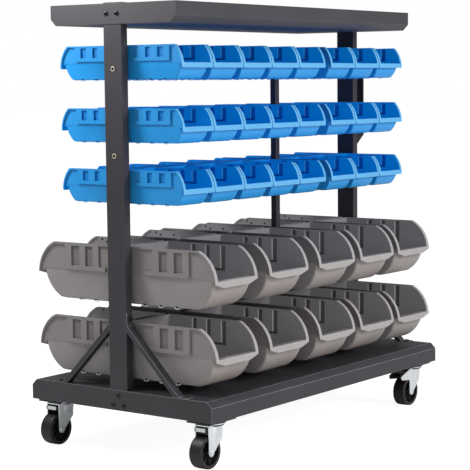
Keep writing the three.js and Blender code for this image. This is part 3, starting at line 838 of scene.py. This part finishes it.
def faces_inward(form, face):
    """Whether a face looks into the bin's hollow."""
    if abs(face.center.x) > form.width / 2 - form.relief - form.wall + NEAR:
        return False
    middle = Vector((0, -form.bottom_depth / 2, -form.height / 2))
    way = middle - face.center
    return way.dot(face.normal) > 0 and face.center.z < -MERGE


def mark_faces(mesh, form):
    """Numbers each face of a bin by the part that it belongs to; the numbers pick the painted light and
    shade of each part.
    """
    curve = front_curve(form, 0)
    end = curve[-2]
    radius, centre = upright_circle(curve[0], end)
    band = form.rim_thickness * LIP_BAND_SHARE
    for face in mesh.polygons:
        depth = -face.center.y
        z = face.center.z
        ahead = -face.normal.y
        off_curve = abs(math.hypot(depth - centre, z - end[1]) - radius)
        on_curve = depth > form.rim_depth - MERGE and off_curve < band
        on_lip = depth > form.lip_depth - form.rim_thickness / 2
        at_side = abs(face.center.x) > form.width / 2 - MERGE
        # The lip and the band along the front curve get a painted highlight.
        if (on_curve or on_lip) and ahead > -LIP_SHARE:
            face.material_index = LIP_HIGHLIGHT
        # On the large bin the rim's outer sides get the same painted highlight.
        elif form.painted_rim_highlight and at_side and depth < form.rim_depth:
            face.material_index = LIP_HIGHLIGHT
        # A thin strip along the rim is painted darker as shade.
        elif z > -band:
            face.material_index = RECESS_SHADE
        # The pits and the notches in the lower edge are painted almost black as shade.
        elif in_pit(form, face):
            face.material_index = PIT_SHADE
        # Inside the +X bars, forward-facing slot walls get a painted highlight with a glow; the rest is
        # painted shade.
        elif in_slot(form, face):
            face.material_index = RIB_HIGHLIGHT if ahead > STEEP_SHARE else RECESS_SHADE
        # The windows' floors are painted darker as shade.
        elif in_window(form, face):
            face.material_index = RECESS_SHADE
        # The inside is painted darker as shade and given a painted glow.
        elif faces_inward(form, face):
            face.material_index = INSIDE_SHADE_GLOW
        # The lower body is painted lighter as light, and its front faces get their own painted light,
        # warm on the grey bin.
        elif z < -form.step_drop:
            face.material_index = FRONT_LIT if ahead > FRONT_SHARE else LOWER_LIT
        else:
            face.material_index = BODY


def bin_mesh(name, form, materials):
    """A whole bin with its loops and its hook."""
    body = bin_outer(form)
    body = bin_inside(form, body)
    body = side_combs(form, body)
    body = small_cuts(form, body)
    body = softened(tidied(body), PLASTIC_EDGE)
    body.materials.clear()
    for material in materials:
        body.materials.append(material)
    mark_faces(body, form)
    # The loops take the ribs' painted highlight and glow.
    lugs = [painted(softened(lug, PLASTIC_EDGE), materials[RIB_HIGHLIGHT]) for lug in bottom_lugs(form)]
    reach = form.width / 2 - HOOK_MARGIN
    strip = painted(softened(hook(-reach, reach), HOOK_EDGE), materials[BODY])
    made = joined(name, [body, strip, *lugs])
    made.name = name
    return made


def bin_places(start):
    """The nodes of one kind of bin, each with its box, the place of its rim's back and its turn."""
    for node in nodes_called(start):
        low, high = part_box(node)
        front = "front" in node
        y = high.y - HOOK_REACH if front else low.y + HOOK_REACH
        yield node, low, high, ((low.x + high.x) / 2, y, high.z), 0 if front else math.pi


def place_large_bins():
    mesh = bin_mesh("large_bin", LARGE_BIN, greys)
    for node, _, _, place, turn in bin_places("large_bin_"):
        piece = placed(f"{node}_moulded", mesh, node, place, turn)
        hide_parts(node)


def place_small_bins():
    """Each row's bins from both ends towards the middle post, and the strip that they hang by."""
    mesh = bin_mesh("small_bin", SMALL_BIN, blues)
    half = SMALL_BIN.width / 2
    for node, low, high, place, turn in bin_places("small_bins_"):
        near = [low.x + half + i * SMALL_PITCH for i in range(SMALL_NEAR_COUNT)]
        far = [high.x - half - i * SMALL_PITCH for i in range(SMALL_FAR_COUNT)]
        for i, x in enumerate(near + list(reversed(far)), 1):
            placed(f"{node}_bin_{i}", mesh, node, (x, *place[1:]), turn)
        reach = (high.x - low.x) / 2 - HOOK_MARGIN
        strip = painted(softened(hook(-reach, reach), HOOK_EDGE), blues[BODY])
        piece = placed(f"{node}_hook_strip", strip, node, place, turn)
        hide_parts(node)


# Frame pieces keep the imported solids' shapes, with rounded edges

def dome_bolt(name, place, axis, body):
    """A low domed bolt head with a socket, standing on a face at place."""
    socket = BOLT_RADIUS * SOCKET_SHARE
    rim = BOLT_RISE * BOLT_RIM_SHARE
    profile = [(BOLT_RADIUS, -OVERLAP), (BOLT_RADIUS, rim)]
    for angle in quarter(DOME_STEPS):
        radius = socket + (BOLT_RADIUS - socket) * math.cos(angle)
        profile.append((radius, rim + (BOLT_RISE - rim) * math.sin(angle)))
    profile += [(socket, rim), (MERGE, rim), (MERGE, -OVERLAP)]
    mesh = turned(name, profile, BOLT_STEPS, axis="z")
    turn = Vector((0, 0, 1)).rotation_difference(Vector(axis)).to_matrix().to_4x4()
    mesh.transform(Matrix.Translation(place) @ turn)
    placed(name, painted(shaded(mesh, DOME_ANGLE), bolt_steel), body)


def dressed(node, body, width, material, cuts=(), painted_highlight=None):
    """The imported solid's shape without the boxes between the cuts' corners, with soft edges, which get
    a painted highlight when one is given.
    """
    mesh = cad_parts[node].data.copy()
    for low, high in cuts:
        mesh = without(mesh, (low[0], high[0]), (-high[1], -low[1]), (low[2], high[2]))
    mesh = painted(tidied(mesh), material)
    if painted_highlight:
        mesh.materials.append(painted_highlight)
    mesh = softened(mesh, width, edge=1 if painted_highlight else -1)
    piece = placed(f"{node}_finished", mesh, body)
    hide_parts(node)
    return piece


def dress_trays():
    """The two trays, with domed bolts on their ends instead of the solids' plain ones."""
    for node, places in (("base_tray", BASE_BOLTS), ("top_tray", TRAY_BOLTS)):
        low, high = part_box(node)
        faces = ((-1, low.x + BOLT_SEAT), (1, high.x - BOLT_SEAT))
        cuts = []
        for side, face in faces:
            x = sorted((face, face + side * OVERRUN))
            start = (x[0], low.y - OVERRUN, low.z - OVERRUN)
            cuts.append((start, (x[1], high.y + OVERRUN, high.z + OVERRUN)))
        # The rounded edges of the trays get a painted highlight.
        coat, painted_highlight = (tray_coat, tray_edge_highlight) if node == "top_tray" else (charcoal, edge_highlight)
        tray = dressed(node, "frame", SHEET_EDGE, coat, cuts, painted_highlight)
        if node == "top_tray":
            under = len(tray.data.materials)
            tray.data.materials.append(under_coat)
            for face in tray.data.polygons:
                if face.normal.z < -FACING_SHARE:
                    face.material_index = under
        for side, face in faces:
            for i, (y, drop) in enumerate(places, 1):
                dome_bolt(f"{node}_bolt_{i}", (face, y, high.z - drop), (side, 0, 0), "frame")


def dress_posts():
    """The posts, with threaded sleeves in the near one."""
    for node in ("end_post_near", "end_post_far", "mid_post"):
        dressed(node, "frame", TUBE_EDGE, charcoal)
    low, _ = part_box("end_post_near")
    handle_low, handle_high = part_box("push_handle")
    middle = (handle_low.z + handle_high.z) / 2
    ring = [(RING_BORE, -RING_RISE), (RING_RADIUS, -RING_RISE)]
    ring += [(radius, -along) for radius, along in reversed(ring)]
    for up in (-1, 1):
        mesh = softened(turned("insert", ring, BOLT_STEPS, axis="x"), FINE_EDGE)
        place = (low.x, 0, middle + up * HANDLE_HOLE_HALF)
        placed("thread_insert", painted(mesh, sleeve_zinc), "frame", place)


def dress_braces():
    """The braces, with a domed bolt at each end."""
    reach = BOLT_ROOM
    for node in nodes_called("brace_"):
        low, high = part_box(node)
        side = -1 if "front" in node else 1
        x = (low.x + high.x) / 2
        tab = side * (POST_HALF + SHEET)
        tab_z = high.z - BRACE_TAB / 2
        foot = (high.y if side > 0 else -low.y) - BRACE_FOOT / 2
        sole = low.z + SHEET
        y = sorted((tab, tab + side * reach))
        cuts = [
            ((x - reach, y[0], tab_z - reach), (x + reach, y[1], tab_z + reach)),
            ((x - reach, side * foot - reach, sole), (x + reach, side * foot + reach, sole + reach)),
        ]
        # The braces' rounded edges get a painted highlight.
        dressed(node, "frame", THIN_EDGE, charcoal, cuts, edge_highlight)
        dome_bolt(f"{node}_bolt_top", (x, tab, tab_z), (0, side, 0), "frame")
        dome_bolt(f"{node}_bolt_foot", (x, side * foot, sole), (0, 0, 1), "frame")


def dress_handle():
    low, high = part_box("push_handle")
    middle = (low.z + high.z) / 2
    face = low.x + SHEET
    cuts = []
    for up in (-1, 1):
        z = middle + up * HANDLE_HOLE_HALF
        start = (face, -BOLT_ROOM, z - BOLT_ROOM)
        cuts.append((start, (face + BOLT_ROOM, BOLT_ROOM, z + BOLT_ROOM)))
    dressed("push_handle", "frame", SHEET_EDGE, black_paint, cuts)
    for up in (-1, 1):
        place = (face, 0, middle + up * HANDLE_HOLE_HALF)
        dome_bolt("push_handle_bolt", place, (1, 0, 0), "frame")


def dress_frame():
    dress_trays()
    dress_posts()
    dress_braces()
    dress_handle()
    for node in nodes_called("bin_rail"):
        dressed(node, "frame", THIN_EDGE, charcoal)


# Casters

def tyre_mesh(half, rim):
    """The tyre: a slightly crowned tread with rounded edges."""
    tread = []
    for i in range(TREAD_STEPS + 1):
        share = -1 + 2 * i / TREAD_STEPS
        tread.append((WHEEL_RADIUS - TREAD_CROWN * share * share, share * (half - TREAD_EDGE)))
    radius = WHEEL_RADIUS - TREAD_CROWN - TREAD_EDGE
    left = []
    for angle in quarter(CORNER_STEPS)[1:]:
        y = half - TREAD_EDGE + TREAD_EDGE * math.sin(angle)
        left.append((radius + TREAD_EDGE * math.cos(angle), y))
    right = [(r, -y) for r, y in reversed(left)]
    profile = right + tread + left + [(rim, half - OVERLAP), (rim, -half + OVERLAP)]
    return painted(shaded(turned("tyre", profile, WHEEL_STEPS), SHARP_ANGLE), rubber)


def hub_mesh(half, rim, web):
    """The hub, its web and the rim ring, the same on both sides."""
    face = half - OVERLAP
    step = half - HUB_STEP
    left = [
        (HUB_BORE, -face), (HUB_RADIUS, -face), (HUB_RADIUS, -web),
        (rim - HUB_FOOT, -web), (rim - HUB_STEP, -step), (rim + OVERLAP, -step),
    ]
    profile = left + [(r, -y) for r, y in reversed(left)]
    return painted(shaded(turned("hub", profile, WHEEL_STEPS), SHARP_ANGLE), hub_plastic)


def spoke_meshes(half, rim, web):
    made = []
    start = HUB_RADIUS - OVERLAP
    end = rim - OVERLAP
    across = SPOKE_WIDTH / 2
    outline = [(start, -across), (end, -across), (end, across), (start, across)]
    for side in (-1, 1):
        y = outward(side, web - OVERLAP, half - SPOKE_SINK)
        for i in range(SPOKES):
            spoke = along_y("spoke", outline, y[0], y[1])
            spoke.transform(Matrix.Rotation(2 * math.pi * i / SPOKES, 4, "Y"))
            made.append(painted(softened(spoke, THIN_EDGE), hub_plastic))
    return made


def wheel_mesh():
    """A whole wheel, with a thin line painted as a highlight between tyre and hub on both sides."""
    half = WHEEL_HALF
    rim = WHEEL_RADIUS - RIM_WIDTH
    web = half - WEB_RECESS
    pieces = [tyre_mesh(half, rim), hub_mesh(half, rim, web)] + spoke_meshes(half, rim, web)
    edge = rim + RIM_LINE
    for side in (-1, 1):
        y = outward(side, half - OVERLAP, half + RIM_LINE_RISE)
        line = turned("line", [(rim, y[0]), (edge, y[0]), (edge, y[1]), (rim, y[1])], WHEEL_STEPS)
        # The line is painted as a highlight.
        pieces.append(painted(line, wheel_rim_highlight))
    return joined("wheel", pieces)


def dress_plate(node):
    """The plate and the swivel race under it, both painted dark as shade, with a bright rim at the
    race's foot.
    """
    low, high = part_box(node)
    middle = (low + high) / 2
    foot = high.z - PLATE_THICKNESS
    race = low.z
    inner = RACE_RADIUS - RACE_LIP
    start = (low.x - OVERRUN, low.y - OVERRUN, race - OVERRUN)
    below = (start, (high.x + OVERRUN, high.y + OVERRUN, foot))
    # The plate is painted dark as shade.
    dressed(node, "frame", THIN_EDGE, dark_steel_and_shade, [below])
    profile = [
        (RACE_CORE, foot + SHEET), (inner, foot + SHEET), (RACE_RADIUS, foot - RACE_LIP),
        (RACE_RADIUS, race + RACE_LIP), (inner, race), (RACE_CORE, race),
    ]
    ring = [(RACE_CORE, race), (RACE_RIM, race), (RACE_RIM, race + SHEET), (RACE_CORE, race + SHEET)]
    # The race is painted dark as shade; the rim ring is bright zinc.
    for name, outline, coat in (("race", profile, dark_steel_and_shade), ("rim", ring, bright_zinc)):
        mesh = softened(turned(name, outline, RACE_STEPS, axis="z"), THIN_EDGE)
        placed(f"{node}_{name}", painted(mesh, coat), "frame", (middle.x, middle.y, 0))


def fork_stiffeners(fork, low, high, middle):
    """A bent-down flange at the fork's back and a fold on each leg."""
    reach = (high.y - low.y) / 2
    y = (-middle - reach + SHEET, -middle + reach * FLANGE_SHARE)
    z = (high.z - FLANGE_FOOT, high.z - FLANGE_TOP)
    pieces = [block("flange", (low.x, low.x + SHEET), y, z)]
    half_way = (low.z + high.z) / 2
    leg = max(abs(point.co.y - middle) for point in fork.data.vertices if point.co.z < half_way)
    back = low.x + FOLD_BACK
    front = low.x + FOLD_FRONT
    for side in (-1, 1):
        face = -middle - side * leg
        root = face + side * OVERLAP
        crest = (low.x + FOLD_CREST, face - side * FOLD_RISE)
        fold = [(back, root), (back, face), crest, (front, face), (front, root)]
        pieces.append(upright_prism("fold", fold, high.z - FOLD_DROP, CROWN_SEAM))
    return joined("stiffeners", [painted(softened(each, FINE_EDGE), bright_zinc) for each in pieces])


def dress_fork(tag, centre, middle):
    """The fork, painted dark as shade inside and on top, with a cover ring painted dark as shade and,
    near the camera, stiffeners.
    """
    node = f"caster_fork_{tag}"
    low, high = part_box(node)
    fork = dressed(node, f"fork_{tag}", SHEET_EDGE, bright_zinc)
    # Inward faces below the shaded top and the crown's top are painted dark as shade.
    dark = len(fork.data.materials)
    fork.data.materials.append(painted_shade_zinc)
    for face in fork.data.polygons:
        way = middle - face.center.y
        inward = way * face.normal.y > 0 and abs(face.normal.y) > STEEP_SHARE
        if (inward and face.center.z < SHADED_TOP) or face.center.z > high.z - CROWN_DARK:
            face.material_index = dark
    # The cover ring is painted dark as shade.
    ring = [(RACE_CORE, CROWN_SEAM), (RACE_CORE, high.z)]
    ring += [(RACE_RADIUS, high.z), (RACE_RADIUS, CROWN_SEAM)]
    cover = painted(softened(turned("cover", ring, RACE_STEPS, axis="z"), THIN_EDGE), painted_shade_zinc)
    placed(f"{node}_cover", cover, f"fork_{tag}", (centre, middle, 0))
    if tag.startswith("near"):
        stiffeners = fork_stiffeners(fork, low, high, middle)
        placed(f"{node}_stiffeners", stiffeners, f"fork_{tag}")


def dress_casters():
    wheel = wheel_mesh()
    for node in nodes_called("caster_wheel_"):
        tag = node.removeprefix("caster_wheel_")
        low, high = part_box(node)
        middle = (low + high) / 2
        piece = placed(f"{node}_moulded", wheel, f"wheel_{tag}", middle)
        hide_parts(node)
        plate_low, plate_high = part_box(f"caster_plate_{tag}")
        dress_fork(tag, (plate_low.x + plate_high.x) / 2, middle.y)
        dressed(f"caster_axle_{tag}", f"fork_{tag}", THIN_EDGE, bright_zinc)
        dress_plate(f"caster_plate_{tag}")
        pedal = f"brake_pedal_{tag}"
        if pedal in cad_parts:
            dressed(pedal, f"pedal_{tag}", THIN_EDGE, dark_steel_and_shade)


# Camera, floor and light

def camera_matrix():
    forward = Vector((
        math.cos(CAMERA_YAW) * math.cos(CAMERA_PITCH),
        math.sin(CAMERA_YAW) * math.cos(CAMERA_PITCH),
        math.sin(CAMERA_PITCH),
    ))
    right = Vector((math.sin(CAMERA_YAW), -math.cos(CAMERA_YAW), 0))
    up = right.cross(forward)
    turned_right = right * math.cos(CAMERA_ROLL) + up * math.sin(CAMERA_ROLL)
    turned_up = up * math.cos(CAMERA_ROLL) - right * math.sin(CAMERA_ROLL)
    turn = Matrix((turned_right, turned_up, -forward)).transposed()
    return Matrix.Translation(CAMERA_PLACE) @ turn.to_4x4()


def make_camera():
    data = bpy.data.cameras.new("camera")
    data.sensor_width = SENSOR * MILLIMETRES_PER_METRE
    data.lens = PHOTO_FOCAL_PIXELS / PHOTO_WIDTH * data.sensor_width
    data.shift_x = (PHOTO_WIDTH / 2 - PHOTO_CENTRE_PIXELS[0]) / PHOTO_WIDTH
    data.shift_y = (PHOTO_CENTRE_PIXELS[1] - PHOTO_WIDTH / 2) / PHOTO_WIDTH
    data.clip_end = CLIP_END
    camera = new_object("camera", data)
    camera.matrix_world = camera_matrix()
    bpy.context.scene.camera = camera


def make_floor():
    """A floor that the camera sees white, with soft shadows, and other rays see as pale paper."""
    half = FLOOR_HALF
    corners = [(-half, -half, 0), (half, -half, 0), (half, half, 0), (-half, half, 0)]
    mesh = bpy.data.meshes.new("floor")
    mesh.from_pydata(corners, [], [(0, 1, 2, 3)])
    material = bpy.data.materials.new("floor_white")
    material.use_nodes = True
    tree = material.node_tree
    nodes = tree.nodes
    links = tree.links
    nodes.clear()
    seen = nodes.new("ShaderNodeLightPath").outputs["Is Camera Ray"]
    tone = ranged(tree, seen, FLOOR_BOUNCE, FLOOR_SHADE)
    paper = nodes.new("ShaderNodeBsdfDiffuse")
    links.new(tone, paper.inputs["Color"])
    glow = nodes.new("ShaderNodeEmission")
    glow.inputs["Color"].default_value = (1, 1, 1, 1)
    glow.inputs["Strength"].default_value = FLOOR_GLOW
    none = nodes.new("ShaderNodeEmission")
    none.inputs["Strength"].default_value = 0
    choose = nodes.new("ShaderNodeMixShader")
    links.new(seen, choose.inputs["Fac"])
    links.new(none.outputs["Emission"], choose.inputs[1])
    links.new(glow.outputs["Emission"], choose.inputs[2])
    total = nodes.new("ShaderNodeAddShader")
    links.new(paper.outputs["BSDF"], total.inputs[0])
    links.new(choose.outputs["Shader"], total.inputs[1])
    out = nodes.new("ShaderNodeOutputMaterial")
    links.new(total.outputs["Shader"], out.inputs["Surface"])
    floor = new_object("floor", painted(mesh, material))


def make_world():
    world = bpy.data.worlds.new("studio")
    bpy.context.scene.world = world
    world.use_nodes = True
    tree = world.node_tree
    back = tree.nodes["Background"].inputs
    back["Color"].default_value = (1, 1, 1, 1)
    seen = tree.nodes.new("ShaderNodeLightPath").outputs["Is Camera Ray"]
    tree.links.new(ranged(tree, seen, WORLD_FILL, 1), back["Strength"])


def make_lamp(name, place, aim, size, energy):
    data = bpy.data.lights.new(name, "AREA")
    data.shape = "SQUARE"
    data.size = size
    data.energy = energy
    lamp = new_object(name, data)
    lamp.location = place
    lamp.rotation_mode = "QUATERNION"
    lamp.rotation_quaternion = (Vector(aim) - Vector(place)).to_track_quat("-Z", "Y")


bpy.context.scene.view_settings.view_transform = "Standard"
make_camera()
make_floor()
make_world()
for lamp_values in LAMPS:
    make_lamp(*lamp_values)
dress_frame()
dress_casters()
place_large_bins()
place_small_bins()
